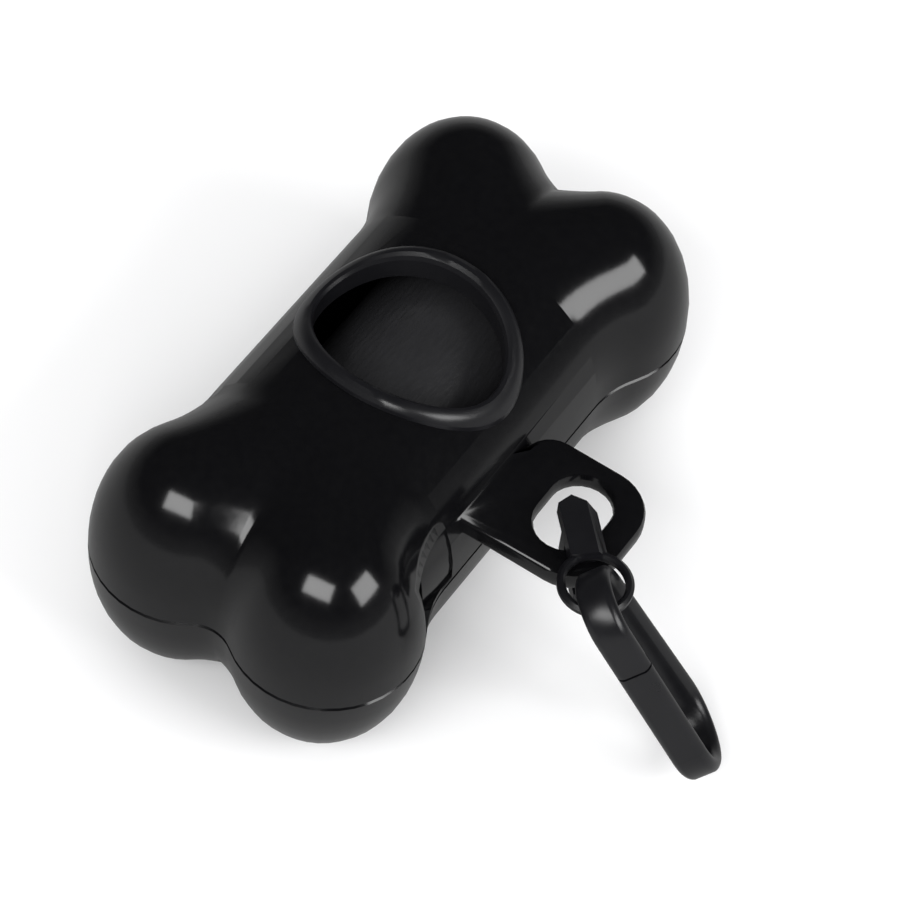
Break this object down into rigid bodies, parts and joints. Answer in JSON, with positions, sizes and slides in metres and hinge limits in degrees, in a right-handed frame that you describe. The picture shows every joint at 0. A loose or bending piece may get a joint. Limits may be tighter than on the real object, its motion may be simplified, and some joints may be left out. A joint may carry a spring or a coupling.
{
  "type": "dog waste bag dispenser",
  "caption": "Glossy black bone-shaped dispenser for dog waste bags, with a pull-off end cap, an oval outlet, a side lug, a claw ring and a snap clip",
  "frame": {"origin": "middle of the flat on the dispenser's back, under the middle of the bone", "axes": "+X runs along the bone from the pull-off cap to the closed end, +Z points out of the front with the outlet, the lug and clip are on the -Y side"},
  "size_m": [0.085, 0.0798, 0.0373],
  "materials": {
    "shell_gloss": "polished black moulded plastic",
    "trim_satin": "satin black moulded plastic",
    "bag_film": "thin black polythene film, softly glossy",
    "cardboard": "plain grey-brown wound cardboard"
  },
  "bodies": {
    "body": {"body_front_shell": "shell_gloss", "body_back_shell": "shell_gloss", "outlet_rim": "trim_satin"},
    "cap": {"cap_front_shell": "shell_gloss", "cap_back_shell": "shell_gloss"},
    "tongue_near": {"latch_tongue_near": "shell_gloss"},
    "tongue_far": {"latch_tongue_far": "shell_gloss"},
    "roll": {"bag_roll": "bag_film", "roll_core": "cardboard"},
    "claw": {"claw_ring": "trim_satin"},
    "clip": {"clip_frame": "trim_satin"},
    "gate": {"clip_gate": "trim_satin"}
  },
  "joints": [
    {"name": "cap_pull", "type": "slide", "parent": "body", "child": "cap", "axis": [-1, 0, 0], "range_m": [0, 0.04]},
    {"name": "tongue_near_press", "type": "hinge", "parent": "body", "child": "tongue_near", "pos_m": [-0.01564, -0.0152, 0.0229], "axis": [0, 0, -1], "range_deg": [0, 5], "stiffness_Nm_per_rad": 0.4},
    {"name": "tongue_far_press", "type": "hinge", "parent": "body", "child": "tongue_far", "pos_m": [-0.01564, 0.0152, 0.0229], "axis": [0, 0, 1], "range_deg": [0, 5], "stiffness_Nm_per_rad": 0.4},
    {"name": "roll_spin", "type": "hinge", "parent": "body", "child": "roll", "pos_m": [0, 0, 0.01735], "axis": [1, 0, 0], "continuous": true},
    {"name": "claw_swing", "type": "hinge", "parent": "body", "child": "claw", "pos_m": [-0.00889, -0.03307, 0.025], "axis": [-0.6947, 0.7193, 0], "range_deg": [0, 15]},
    {"name": "clip_swing", "type": "hinge", "parent": "claw", "child": "clip", "pos_m": [-0.01478, -0.03952, 0.0281], "axis": [-0.7828, 0.6222, 0], "range_deg": [0, 25]},
    {"name": "gate_press", "type": "hinge", "parent": "clip", "child": "gate", "pos_m": [-0.01452, -0.05341, 0.01038], "axis": [-0.6221, 0.6117, -0.4887], "range_deg": [0, 16], "stiffness_Nm_per_rad": 0.1}
  ]
}
